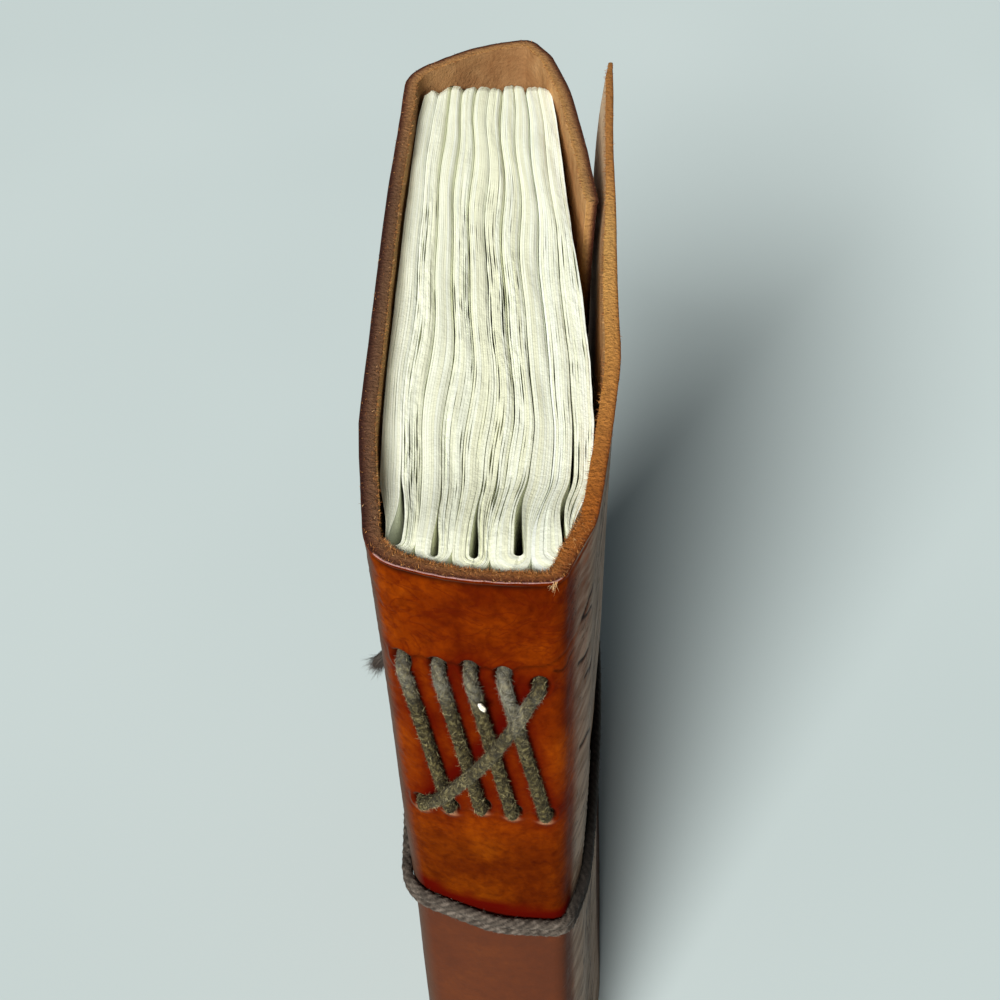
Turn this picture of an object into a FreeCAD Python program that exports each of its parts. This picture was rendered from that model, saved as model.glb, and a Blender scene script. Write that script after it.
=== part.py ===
import FreeCAD, Part
import math
import os

# A hand-made journal closed for carrying: one sheet of thick leather is folded round five sewn
# gatherings of deckled paper, runs on round the fore edge and comes back as a flap that is tucked
# in under the front cover.  A cord is wound twice round it and knotted on the back cover.
# The journal stands on its tail: Z is up to the head, the spine looks along -Y and the front
# cover is on the +X side.  All plan outlines are drawn from the middle of the spine and moved to
# the middle of the journal by each body's placement.

V = FreeCAD.Vector

# alias, value in mm, meaning
CELLS = (
    ("cover_height", 210.0, "tail edge to head edge of the leather"),
    ("leather", 2.5, "thickness of the leather"),
    ("head_margin", 3.5, "how far the leather stands past the paper at head and tail"),
    ("cover_depth", 159.5, "spine to the ridge of the fore-edge fold"),
    ("front_depth", 148.7, "spine to the free edge of the front cover"),
    ("flap_end", 96.4, "spine to the free edge of the tucked-in flap"),
    ("front_side", 20.1, "middle of the spine to the outside of the front cover"),
    ("back_side", 23.0, "middle of the spine to the outside of the back cover"),
    ("spine_left", 17.6, "middle of the spine to its corner at the back cover"),
    ("spine_right", 10.9, "middle of the spine to its corner at the front cover"),
    ("spine_skew", 5.0, "how far the back corner of the spine lies behind the front one"),
    ("paper_depth", 144.0, "spine to the fore edge of the leaves"),
    ("fold_wall", 4.6, "paper in the fold of a gathering"),
    ("leaf_gap", 0.4, "open gap between two bunches of leaves"),
    ("sewing_cord", 2.3, "diameter of the sewing cord"),
    ("sewing_hole_wide", 2.8, "width of a sewing hole"),
    ("sewing_hole_tall", 3.8, "height of a sewing hole"),
    ("sewing_bend", 1.5, "bend of the sewing cord at a hole"),
    ("wrap_cord", 2.0, "diameter of the wrap cord"),
    ("wrap_below_head", 97.0, "head edge to the knot and the wrap turns beside it"),
    ("wrap_pitch", 2.2, "distance between the two wrap turns"),
    ("knot_thick", 5.4, "knot, square to the back cover"),
    ("knot_long", 9.0, "knot, along the cord"),
    ("knot_high", 8.0, "knot, along the height"),
    ("centre_x", -1.45, "middle of the journal across its thickness"),
    ("centre_y", 77.0, "middle of the journal along its depth"),
)


def add_sheet(doc):
    """The driving dimensions, one named cell each."""
    sheet = doc.addObject("Spreadsheet::Sheet", "dims")
    for row, (alias, value, meaning) in enumerate(CELLS, start=1):
        sheet.set("A%d" % row, alias)
        sheet.set("B%d" % row, str(value))
        sheet.set("C%d" % row, meaning)
        sheet.setAlias("B%d" % row, alias)
    doc.recompute()
    return sheet


# ---------------------------------------------------------------- plane and space outlines

def turned(direction):
    """The direction a quarter turn to the right, which points into the folded cover."""
    return V(direction.y, -direction.x, 0)


def offset_corners(corners, distance):
    """The same chain of corners, moved to its right by a distance."""
    points = [V(x, y, 0) for x, y, radius in corners]
    ways = [(b - a).normalize() for a, b in zip(points, points[1:])]
    moved = [points[0] + turned(ways[0]) * distance]
    for point, before, after in zip(points[1:-1], ways, ways[1:]):
        mitre = turned(before) + turned(after)
        mitre.normalize()
        moved.append(point + mitre * (distance / mitre.dot(turned(before))))
    moved.append(points[-1] + turned(ways[-1]) * distance)
    return [(p.x, p.y, max(radius - distance, 0)) for p, (x, y, radius) in zip(moved, corners)]


def rounded_edges(points, radii):
    """Straight runs through the points, joined by tangent arcs of the given radii."""
    edges = []
    start = points[0]
    for before, corner, after, radius in zip(points, points[1:], points[2:], radii[1:-1]):
        way_in = (corner - before).normalize()
        way_out = (after - corner).normalize()
        turn = way_in.getAngle(way_out)
        reach = radius * math.tan(turn / 2)
        middle = way_out - way_in
        middle.normalize()
        sink = radius / math.cos(turn / 2) - radius
        if reach > (corner - start).Length:
            raise ValueError("no room for the bend at %s" % corner)
        arc = Part.Arc(corner - way_in * reach, corner + middle * sink, corner + way_out * reach)
        edges.append(Part.LineSegment(start, corner - way_in * reach))
        edges.append(arc)
        start = corner + way_out * reach
    edges.append(Part.LineSegment(start, points[-1]))
    return edges


def easy_radii(points):
    """The bend at each point of a free cord: as large as its two runs allow."""
    radii = [0]
    for before, corner, after in zip(points, points[1:], points[2:]):
        turn = (corner - before).getAngle(after - corner)
        run = min((corner - before).Length, (after - corner).Length)
        radii.append(0.45 * run / math.tan(turn / 2))
    return radii + [0]


def plane_of(body, role):
    for feature in body.Origin.OriginFeatures:
        if feature.Role == role:
            return feature
    raise ValueError(role)


def add_sketch(body, name, role, geometry, out=0.0):
    """A sketch on one of the body's own origin planes, moved out along the plane's normal."""
    sketch = body.newObject("Sketcher::SketchObject", name)
    sketch.AttachmentSupport = (plane_of(body, role), [""])
    sketch.MapMode = "FlatFace"
    sketch.AttachmentOffset = FreeCAD.Placement(V(0, 0, out), FreeCAD.Rotation())
    sketch.addGeometry(geometry, False)
    return sketch


def add_body(doc, name):
    body = doc.addObject("PartDesign::Body", name)
    body.Label = name
    body.setExpression("Placement.Base.x", "-dims.centre_x")
    body.setExpression("Placement.Base.y", "-dims.centre_y")
    return body


def add_pad(body, name, sketch, length):
    pad = body.newObject("PartDesign::Pad", name)
    pad.Profile = sketch
    pad.setExpression("Length", length)
    return pad


def add_pocket(body, name, sketch, length):
    """A cut along +Y from a sketch in front of the spine."""
    pocket = body.newObject("PartDesign::Pocket", name)
    pocket.Profile = sketch
    pocket.setExpression("Length", length)
    return pocket


# ---------------------------------------------------------------- the folded leather cover

def cover_corners(d):
    """Grain side of the sheet in plan, from the front cover's free edge to the flap's."""
    shoulder = d.spine_right + 5.1
    return (
        (d.front_side - 0.1, d.front_depth, 0),
        (d.front_side, 50.0, 60.0),
        (shoulder, 12.5, 20.0),
        (d.spine_right, 0.3, 3.5),
        (-1.0, -0.1, 50.0),
        (-d.spine_left, d.spine_skew - 0.1, 8.0),
        (-d.back_side + 1.7, 32.0, 120.0),
        (-d.back_side + 0.1, 100.0, 300.0),
        (-d.back_side, d.cover_depth - 14.3, 11.0),
        (-8.5, d.cover_depth - 2.6, 25.0),
        (2.6, d.cover_depth + 0.1, 3.5),
        (7.4, d.cover_depth - 7.7, 15.0),
        (11.3, d.cover_depth - 23.0, 60.0),
        (14.9, 114.2, 100.0),
        (16.8, d.flap_end, 0),
    )


def as_edges(corners):
    return rounded_edges([V(x, y, 0) for x, y, radius in corners], [c[2] for c in corners])


def cover_outline(d):
    """Grain side, cut edge of the flap, flesh side and cut edge of the front cover."""
    grain = cover_corners(d)
    flesh = offset_corners(grain, d.leather)
    outer = as_edges(grain)
    inner = as_edges(flesh[::-1])
    flap_cut = Part.LineSegment(V(*grain[-1][:2], 0), V(*flesh[-1][:2], 0))
    front_cut = Part.LineSegment(V(*flesh[0][:2], 0), V(*grain[0][:2], 0))
    return outer + [flap_cut] + inner + [front_cut]


# x across the spine and distance below the head (or above the tail) of each sewing hole: one hole
# of each row lies on the fold of each gathering, and the rows are pierced by hand with an awl
OUTER_HOLES = ((-13.8, 21.6), (-8.1, 21.1), (-3.1, 20.4), (2.0, 21.0), (7.5, 23.1))
INNER_HOLES = ((-13.2, 59.2), (-8.1, 58.0), (-2.6, 56.0), (2.6, 56.7), (8.2, 57.6))
FRONT_OF_SPINE = 6.0


def awl_holes(d, holes):
    """Six-sided slits at the head and their mirror images at the tail, in the X-Z plane."""
    side = d.sewing_hole_wide / 2
    tip = d.sewing_hole_tall / 2
    shoulder = tip / 3
    form = ((side, -shoulder), (side, shoulder), (0, tip),
            (-side, shoulder), (-side, -shoulder), (0, -tip))
    edges = []
    for x, below in holes:
        for z in (d.cover_height - below, below):
            corners = [V(x + across, z + up, 0) for across, up in form]
            edges += [Part.LineSegment(p, q) for p, q in zip(corners, corners[1:] + corners[:1])]
    return edges


def build_cover(doc, d):
    body = add_body(doc, "leather_cover")
    profile = add_sketch(body, "folded_sheet", "XY_Plane", cover_outline(d))
    pad = add_pad(body, "sheet_height", profile, "dims.cover_height")
    doc.recompute()
    slits = awl_holes(d, OUTER_HOLES + INNER_HOLES)
    holes = add_sketch(body, "cover_holes", "XZ_Plane", slits, FRONT_OF_SPINE)
    cut = add_pocket(body, "cover_hole_cut", holes, "%g + 3 * dims.leather + 4" % FRONT_OF_SPINE)
    body.Tip = cut
    doc.recompute()
    must_shrink(pad, cut)
    return body


def must_shrink(before, after):
    """A pocket that points the wrong way cuts nothing and says nothing."""
    if after.Shape.Volume > before.Shape.Volume - 1.0:
        raise ValueError(after.Name + " cuts nothing")


# ---------------------------------------------------------------- the sewn leaves

# the gatherings' corners at the spine, and the block's two sides (y, back x, front x) from the
# folds to the fore edge: it is pressed flat at its folds, swells behind them and thins outwards
FOLD_LINES = (-14.7, -10.8, -5.4, -0.2, 5.1, 10.4)
FOLD_ROOM = (0.6, 0.25, 0.55, 0.3, 1.0)   # air to the leather, more where that is bent
FOLD_NOTCH = 0.8                 # how far the notch between two folds runs in past their backs
STATIONS = (
    (11.0, -15.3, 12.2),
    (22.0, -17.1, 14.0),
    (38.0, -18.4, 15.6),
    (90.0, -19.6, 12.4),
    (141.0, -18.6, 6.1),
)
GATHERINGS = 5
LEAF_BUNCHES = 4 * GATHERINGS    # two bunches of leaves each side of every fold
CHANNELS = ((-13.4, 1.8), (-8.1, 1.8), (-2.85, 1.8), (2.3, 1.8), (7.85, 1.9))   # x, radius


def lane_x(share, station):
    """x of the line at a share of the block's thickness, with the leaves' slight wave."""
    y, left, right = STATIONS[station]
    wave = 0.35 * math.sin(2.4 * station + 7.0 * share) if 0 < share < 1 else 0.0
    return left + (right - left) * share + wave


def lane(share, shift=0.0):
    return [V(lane_x(share, i) + shift, s[0], 0) for i, s in enumerate(STATIONS)]


def along(points, back=False):
    """Arcs through three points each; an odd number of steps begins with a straight one."""
    steps = len(points) - 1
    runs = [points[:2]] if steps % 2 else []
    runs += [points[i:i + 3] for i in range(steps % 2, steps, 2)]
    if back:
        runs = [run[::-1] for run in runs[::-1]]
    return [Part.Arc(*run) if len(run) == 3 else Part.LineSegment(*run) for run in runs]


def spine_face(d, x):
    """y of the leather's grain side at the spine."""
    if x > -1.0:
        return -0.1 + 0.4 * (x + 1.0) / (d.spine_right + 1.0)
    return -0.1 + d.spine_skew * (-1.0 - x) / (d.spine_left - 1.0)


def fold_front(d, number):
    """y of the outermost leaf at the fold of a gathering."""
    middle = (FOLD_LINES[number] + FOLD_LINES[number + 1]) / 2
    return spine_face(d, middle) + d.leather * 1.05 + FOLD_ROOM[number]


def folds(d):
    """The round backs of the gatherings, side by side with a narrow notch between each two."""
    edges = []
    half = d.leaf_gap / 2
    for number in range(GATHERINGS):
        left = V(FOLD_LINES[number] + half, 0, 0)
        right = V(FOLD_LINES[number + 1] - half, 0, 0)
        radius = (right.x - left.x) / 2
        front = fold_front(d, number)
        left.y = right.y = front + radius
        if edges:
            floor = max(left.y, edges[-1].EndPoint.y) + FOLD_NOTCH
            low_left = V(edges[-1].EndPoint.x, floor, 0)
            low_right = V(left.x, floor, 0)
            edges.append(Part.LineSegment(edges[-1].EndPoint, low_left))
            edges.append(Part.LineSegment(low_left, low_right))
            edges.append(Part.LineSegment(low_right, left))
        edges.append(Part.Arc(left, V(left.x + radius, front, 0), right))
    return edges


def block_outline(d):
    """Five folds at the spine, the two sides, and a bump for each bunch at the fore edge, with
    the open gaps between the bunches."""
    edges = folds(d)
    first = edges[0].StartPoint
    front_side = lane(1.0)
    edges.append(Part.LineSegment(edges[-1].EndPoint, front_side[0]))
    edges += along(front_side)
    start = front_side[-1]
    for number in range(LEAF_BUNCHES - 1, 0, -1):
        gap = leaf_gap(d, number)
        edges += bump(d, start, gap[0].StartPoint, number) + gap
        start = gap[-1].EndPoint
    back_side = lane(0.0)
    edges += bump(d, start, back_side[-1], 0) + along(back_side, back=True)
    edges.append(Part.LineSegment(back_side[0], first))
    return edges


def bump(d, start, end, number):
    """The deckled fore edge of one bunch of leaves."""
    reach = d.paper_depth - start.y + 1.1 * math.sin(2.7 * number)
    top = (start + end) * 0.5 + V(0, reach, 0)
    rise = V(0, reach - (start.x - end.x) / 2, 0)
    return [Part.LineSegment(start, start + rise), Part.Arc(start + rise, top, end + rise),
            Part.LineSegment(end + rise, end)]


def leaf_gap(d, number):
    """In from the fore edge beside one bunch, across the gap's end, and out beside the next."""
    share = number / LEAF_BUNCHES
    in_fold = number % 4 == 2        # this gap opens into the fold of a gathering
    between_bunches = number % 2 == 1
    half = d.leaf_gap / 3 if between_bunches else d.leaf_gap / 2
    first = 2 if between_bunches else 1 if in_fold else 0
    near = lane(share, half)[first:]
    far = lane(share, -half)[first:]
    if first == 0:
        near[0].x = FOLD_LINES[number // 4] + half
        far[0].x = FOLD_LINES[number // 4] - half
    end = [Part.LineSegment(near[0], far[0])]
    if in_fold:
        end = fold_opening(d, number // 4, near[0], far[0])
    return along(near, back=True) + end + along(far)


def channel_centre(d, number):
    x, radius = CHANNELS[number]
    return V(x, fold_front(d, number) + d.fold_wall + radius, 0)


def fold_opening(d, number, near, far):
    """The drop-shaped opening inside a fold, which the sewing cord runs down."""
    centre = channel_centre(d, number)
    radius = CHANNELS[number][1]
    touch = []
    for point, side in ((near, -1), (far, 1)):
        way = point - centre
        angle = math.atan2(way.y, way.x) + side * math.acos(radius / way.Length)
        touch.append(centre + V(math.cos(angle), math.sin(angle), 0) * radius)
    back = centre - ((near + far) * 0.5 - centre).normalize() * radius
    return [Part.LineSegment(near, touch[0]), Part.Arc(touch[0], back, touch[1]),
            Part.LineSegment(touch[1], far)]


def build_block(doc, d):
    body = add_body(doc, "text_block")
    outline = add_sketch(body, "leaf_outline", "XY_Plane", block_outline(d))
    outline.setExpression("AttachmentOffset.Base.z", "dims.head_margin")
    before = add_pad(body, "leaf_height", outline, "dims.cover_height - 2 * dims.head_margin")
    doc.recompute()
    for number in range(GATHERINGS):
        before = cut_fold_holes(doc, d, body, number, before)
    body.Tip = before
    doc.recompute()
    return body


def cut_fold_holes(doc, d, body, number, before):
    """The four holes through one fold, from the leather into its opening."""
    slits = awl_holes(d, (OUTER_HOLES[number], INNER_HOLES[number]))
    name = "fold_%d_holes" % (number + 1)
    sketch = add_sketch(body, name, "XZ_Plane", slits, FRONT_OF_SPINE)
    depth = FRONT_OF_SPINE + channel_centre(d, number).y
    cut = add_pocket(body, name + "_cut", sketch, "%g" % depth)
    doc.recompute()
    must_shrink(before, cut)
    return cut


# ---------------------------------------------------------------- cords

SIDES = 8                        # flats round a cord, which keep its many bends light
# from the cord's radius to the corners of a section of the same area
CORNER_REACH = math.sqrt(2 * math.pi / (SIDES * math.sin(2 * math.pi / SIDES)))


def add_tube(doc, name, edges, size):
    """A cord swept along straight runs and tangent arcs."""
    route = doc.addObject("Part::Feature", name + "_route")
    route.Shape = Part.Wire([edge.toShape() for edge in edges])
    start = edges[0]
    way = (start.EndPoint - start.StartPoint).normalize()
    flat_up = FreeCAD.Rotation(V(0, 0, 1), 180 / SIDES)
    section = doc.addObject("Part::RegularPolygon", name + "_section")
    section.Polygon = SIDES
    section.setExpression("Circumradius", "dims.%s / 2 * %g" % (size, CORNER_REACH))
    section.Placement.Base = start.StartPoint
    section.Placement.Rotation = FreeCAD.Rotation(V(0, 0, 1), way) * flat_up
    tube = doc.addObject("Part::Sweep", name)
    tube.Label = name
    tube.Sections = [section]
    tube.Spine = (route, [])
    tube.Solid = True
    tube.Frenet = False
    tube.setExpression("Placement.Base.x", "-dims.centre_x")
    tube.setExpression("Placement.Base.y", "-dims.centre_y")
    doc.recompute()
    report_tube(name, tube, route, section.Circumradius.Value / CORNER_REACH)
    return tube


def report_tube(name, tube, route, radius):
    """The tube's volume beside its section times its length, and its bend radii."""
    length = route.Shape.Length
    bends = sorted({round(e.Curve.Radius, 1) for e in route.Shape.Edges if hasattr(e.Curve, "Radius")})
    print("%s: length %.1f, volume %.1f, section x length %.1f, bends %s"
          % (name, length, tube.Shape.Volume, math.pi * radius ** 2 * length, bends))


ENDS_APART = 0.6                 # where the sewing cord's two ends are tied inside the first fold
BEND_RUNS = 2                    # short straight runs in each of its many bends
# the crossing stitch: share of its way, extra height over the others and bend
CROSSING = ((0.14, 0.0, 7.0), (0.5, 0.45, 20.0), (0.87, 0.0, 7.0))


def in_short_runs(edges):
    """The same route with each arc as a few straight runs, whose flat faces keep the cord light."""
    runs = []
    for edge in edges:
        if isinstance(edge, Part.LineSegment):
            runs.append(edge)
            continue
        step = (edge.LastParameter - edge.FirstParameter) / BEND_RUNS
        marks = [edge.value(edge.FirstParameter + step * i) for i in range(BEND_RUNS + 1)]
        runs += [Part.LineSegment(p, q) for p, q in zip(marks, marks[1:])]
    return runs


def sewing_route(d, from_head):
    """Down inside each fold and slanting across to the next one outside, then back over all the
    stitches from the last fold to the first, where the two ends meet."""
    stand = d.sewing_cord / 2 + 0.2
    over = stand + d.sewing_cord + 0.25
    bend = d.sewing_bend

    def place(x, y, below):
        return V(x, y, d.cover_height - below if from_head else below)

    def outside(hole):
        return place(hole[0], spine_face(d, hole[0]) - stand, hole[1])

    def inside(number, hole):
        return place(hole[0], channel_centre(d, number).y, hole[1])

    first_low = inside(0, INNER_HOLES[0])
    first_top = inside(0, OUTER_HOLES[0])
    meet = (first_low + first_top) * 0.5
    half_gap = (first_top - first_low).normalize() * ENDS_APART / 2
    corners = [(meet + half_gap, 0), (first_top, bend), (outside(OUTER_HOLES[0]), bend)]
    for number in range(1, GATHERINGS):
        top, low = OUTER_HOLES[number], INNER_HOLES[number]
        loop = (outside(low), inside(number, low), inside(number, top), outside(top))
        corners += [(point, bend) for point in loop]
    start, end = OUTER_HOLES[-1], INNER_HOLES[0]
    for share, lift, radius in CROSSING:
        x = start[0] + (end[0] - start[0]) * share
        below = start[1] + (end[1] - start[1]) * share
        corners.append((place(x, spine_face(d, x) - over - lift, below), radius))
    corners += [(outside(end), bend), (first_low, bend), (meet - half_gap, 0)]
    return in_short_runs(rounded_edges([p for p, r in corners], [r for p, r in corners]))


# x, y, height above the wrap's level and bend, for one turn: along the back cover, round the
# fore-edge fold, across to the front cover's free edge, along the front cover and over the spine;
# at the spine the turns lie highest, at the corner of the back cover
WRAP_TURN = (
    (-24.22, 110.0, -0.2, 90.0),
    (-24.22, 128.0, -0.4, 90.0),
    (-24.30, 145.8, 0.0, 12.2),
    (-9.10, 158.2, -0.6, 22.0),
    (3.80, 161.2, -0.8, 4.9),
    (21.52, 149.8, -0.6, 3.0),
    (21.52, 129.0, -0.2, 70.0),
    (21.27, 106.0, 0.2, 90.0),
    (21.62, 82.0, 0.8, 90.0),
    (21.62, 55.0, 1.6, 60.0),
    (19.64, 32.5, 2.4, 90.0),
    (17.23, 12.0, 3.1, 21.2),
    (11.50, -1.08, 3.8, 4.7),
    (-1.20, -1.42, 5.1, 55.0),
    (-18.60, 3.66, 7.8, 9.2),
    (-22.43, 31.0, 5.2, 60.0),
)
KNOT_Y = 80.0
KNOT_X = -27.92                  # the knot sits on the middle strand, not on the leather
KNOT_EDGE = 1.1
OUT_OF_KNOT = 0.2                # the cord's end faces stand clear of the knot's


def knot_centre(d):
    return V(KNOT_X, KNOT_Y, d.cover_height - d.wrap_below_head)


def wrap_route(d):
    """Out of the knot, twice round the journal, under the knot between the turns, and back."""
    knot = knot_centre(d)
    half = d.wrap_pitch / 2
    side = d.knot_long / 2 + OUT_OF_KNOT
    leave = [(knot + V(0, side, 0), 0), (knot + V(0.05, 10.5, 0.3), 12.0)]
    leave += [(knot + V(2.45, 18.0, 1.1), 14.0)]
    step = [(knot + V(4.7, -31.0, half + 2.6), 60.0), (knot + V(4.5, -14.0, half + 0.6), 60.0)]
    step += [(knot + V(4.35, 0, 0), 60.0), (knot + V(4.0, 14.0, -half), 60.0)]
    back = [(knot + V(4.7, -31.0, 2.6 - half), 30.0), (knot + V(3.05, -18.0, 0.2 - half), 14.0)]
    back += [(knot + V(0.05, -10.5, -half), 12.0), (knot + V(0, -side, -half), 0)]
    corners = leave + wrap_turn(knot.z + half) + step + wrap_turn(knot.z - half) + back
    return rounded_edges([p for p, r in corners], [r for p, r in corners])


def wrap_turn(level):
    return [(V(x, y, level + up), radius) for x, y, up, radius in WRAP_TURN]


# the cord's two ends, from the knot: one stands off the cover beside the turns, one hangs down
SHORT_END = ((0, -4.7, 1.45), (-0.1, -9.0, 1.7), (-0.9, -13.0, 2.6), (-3.0, -17.4, 1.4))
LONG_END = ((0, 0, -4.2), (0.1, 0.1, -9.0), (1.3, 0.6, -15.0), (2.9, 1.7, -22.0), (3.9, 2.4, -30.5))


def end_route(d, points):
    route = [knot_centre(d) + V(*p) for p in points]
    return rounded_edges(route, easy_radii(route))


def build_knot(doc, d):
    """The knot's outer shape: flat where the cord goes in, with its edges taken off."""
    block = doc.addObject("Part::Box", "knot_block")
    for side, size in (("Length", "knot_thick"), ("Width", "knot_long"), ("Height", "knot_high")):
        block.setExpression(side, "dims." + size)
    half = V(d.knot_thick / 2, d.knot_long / 2, d.knot_high / 2)
    block.Placement.Base = knot_centre(d) - half - V(d.centre_x, d.centre_y, 0)
    doc.recompute()
    knot = doc.addObject("Part::Chamfer", "wrap_knot")
    knot.Label = "wrap_knot"
    knot.Base = block
    knot.Edges = [(i + 1, KNOT_EDGE, KNOT_EDGE) for i in range(len(block.Shape.Edges))]
    doc.recompute()
    return knot


# ---------------------------------------------------------------- document, checks, export

def check(doc, parts):
    for item in doc.Objects:
        if {"Invalid", "Error"} & set(item.State):
            raise ValueError("%s is %s" % (item.Name, item.State))
    for part in parts:
        if part.Shape.isNull() or not part.Shape.isValid():
            raise ValueError(part.Label + " has no valid shape")
        if len(part.Shape.Solids) != 1:
            raise ValueError("%s has %d solids" % (part.Label, len(part.Shape.Solids)))


def export(parts):
    os.makedirs("parts", exist_ok=True)
    for part in parts:
        part.Shape.exportStep("parts/%s.step" % part.Label)
        box = part.Shape.BoundBox
        print("%-22s x %.1f..%.1f  y %.1f..%.1f  z %.1f..%.1f  volume %.0f mm3" % (
            part.Label, box.XMin, box.XMax, box.YMin, box.YMax, box.ZMin, box.ZMax,
            part.Shape.Volume))


def build():
    doc = FreeCAD.newDocument("leather_journal")
    d = add_sheet(doc)
    parts = [
        build_cover(doc, d),
        build_block(doc, d),
        add_tube(doc, "head_sewing_cord", sewing_route(d, True), "sewing_cord"),
        add_tube(doc, "tail_sewing_cord", sewing_route(d, False), "sewing_cord"),
        add_tube(doc, "wrap_cord_turns", wrap_route(d), "wrap_cord"),
        add_tube(doc, "wrap_cord_short_end", end_route(d, SHORT_END), "wrap_cord"),
        add_tube(doc, "wrap_cord_long_end", end_route(d, LONG_END), "wrap_cord"),
        build_knot(doc, d),
    ]
    doc.recompute()
    check(doc, parts)
    export(parts)


build()
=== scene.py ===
import math

import bpy
import numpy as np
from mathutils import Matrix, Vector, noise


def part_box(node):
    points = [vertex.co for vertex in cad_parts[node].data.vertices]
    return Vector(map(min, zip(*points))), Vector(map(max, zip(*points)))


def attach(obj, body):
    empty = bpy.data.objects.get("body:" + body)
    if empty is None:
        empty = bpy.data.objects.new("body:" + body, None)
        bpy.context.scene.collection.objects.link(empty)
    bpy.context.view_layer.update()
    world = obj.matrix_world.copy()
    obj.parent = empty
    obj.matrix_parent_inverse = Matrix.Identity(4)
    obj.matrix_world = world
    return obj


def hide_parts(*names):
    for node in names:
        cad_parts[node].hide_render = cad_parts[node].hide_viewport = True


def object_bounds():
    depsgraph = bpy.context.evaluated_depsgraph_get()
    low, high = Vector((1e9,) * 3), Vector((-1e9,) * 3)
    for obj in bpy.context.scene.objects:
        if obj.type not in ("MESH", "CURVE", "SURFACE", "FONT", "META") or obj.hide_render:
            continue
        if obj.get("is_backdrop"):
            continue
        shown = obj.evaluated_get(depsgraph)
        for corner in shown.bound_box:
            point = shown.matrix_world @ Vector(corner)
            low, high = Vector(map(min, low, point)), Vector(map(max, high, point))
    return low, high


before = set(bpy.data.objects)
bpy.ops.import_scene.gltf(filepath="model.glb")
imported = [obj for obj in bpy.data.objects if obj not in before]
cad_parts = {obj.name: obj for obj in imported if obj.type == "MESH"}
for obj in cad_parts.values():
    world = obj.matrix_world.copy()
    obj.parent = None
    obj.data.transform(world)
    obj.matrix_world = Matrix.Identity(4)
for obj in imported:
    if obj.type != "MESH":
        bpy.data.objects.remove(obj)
cad_low, cad_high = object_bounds()

# ------------------------------ leather cover
# One sheet of thick tanned leather, grain side out: front cover, spine, back cover, round the
# fore edge and back as a tucked-in flap.  It is cut with a knife, so its edges are raw, pierced
# with an awl for the sewing, scored along the hole rows and drawn in by the cord at mid height.

cover_low, cover_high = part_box("leather_cover")
HEIGHT = (cover_high.z - cover_low.z) * 1000
LEATHER = 2.5
# grain side in plan, in mm from the middle of the spine: x, y and bend
COVER_CORNERS = (
    (20.0, 148.7, 0), (20.1, 50.0, 60), (16.0, 12.5, 20), (10.9, 0.3, 3.5), (-1.0, -0.1, 50),
    (-17.6, 4.9, 8), (-21.3, 32.0, 120), (-22.9, 100.0, 300), (-23.0, 145.2, 11),
    (-8.5, 156.9, 25), (2.6, 159.6, 3.5), (7.4, 151.8, 15), (11.3, 136.5, 60),
    (14.9, 114.2, 100), (16.8, 96.4, 0),
)
# its middle at the spine's foot, which the front face stands 20.1 mm in front of
SPINE_FOOT = Vector((cover_high.x - 0.0201, cover_low.y - 0.00015, cover_low.z))
HALF_THICK, MIDDLE_X, DRAWN_IN_AT = 21.5, -1.45, 115      # of the journal, and the waist's height
# awl holes in the spine: x and distance from the head, and from the tail as well
OUTER_HOLES = ((-13.8, 21.6), (-8.1, 21.1), (-3.1, 20.4), (2.0, 21.0), (7.5, 23.1))
INNER_HOLES = ((-13.2, 59.2), (-8.1, 58.0), (-2.6, 56.0), (2.6, 56.7), (8.2, 57.6))
STITCHES = [*zip(OUTER_HOLES[:4], INNER_HOLES[1:]), (OUTER_HOLES[4], INNER_HOLES[0])]


def smooth(low, high, value):
    share = np.clip((np.asarray(value, float) - low) / (high - low), 0, 1)
    return share * share * (3 - 2 * share)


def bell(value, middle, width):
    return np.exp(-((np.asarray(value, float) - middle) / width) ** 2)


def straight(ways):
    """Directions made one long."""
    return ways / np.linalg.norm(ways, axis=-1, keepdims=True)


def grain_noise(x, y, z, seed=0.0):
    """Smooth noise between -1 and 1 at each of the given points."""
    flat = np.broadcast_arrays(np.asarray(x, float), y, z)
    found = [noise.noise((a + seed, b - seed, c + 2 * seed))
             for a, b, c in zip(*(v.ravel().tolist() for v in flat))]
    return np.array(found).reshape(flat[0].shape)


def placed(points):
    """Points in mm from the spine's foot, drawn in by the cord, as metres in the journal."""
    p = np.array(points, float).reshape(-1, 3)
    from_head, from_tail = np.clip((HEIGHT - p[:, 2], p[:, 2]), 0, HEIGHT)
    loose = smooth(85, 125, p[:, 1]) * smooth(10, 18, p[:, 0])      # the front cover's free end
    ease = 27 - 12 * loose
    held = 0.62 * (1 - np.exp(-from_head / ease)) * (1 - np.exp(-from_tail / ease))
    held = (held + 0.38 * bell(p[:, 2], DRAWN_IN_AT, 22)) * smooth(-4, 28, p[:, 1])
    across = p[:, 0] - MIDDLE_X
    front_pull = 3.4 + 1.0 * smooth(50, 105, p[:, 1]) + 0.4 * loose
    p[:, 0] -= across * np.where(across > 0, front_pull, 2.6) / HALF_THICK * held
    p[:, 2] = np.maximum(p[:, 2], 0.0)                              # it stands on its tail
    return p / 1000 + np.array(SPINE_FOOT)


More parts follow.
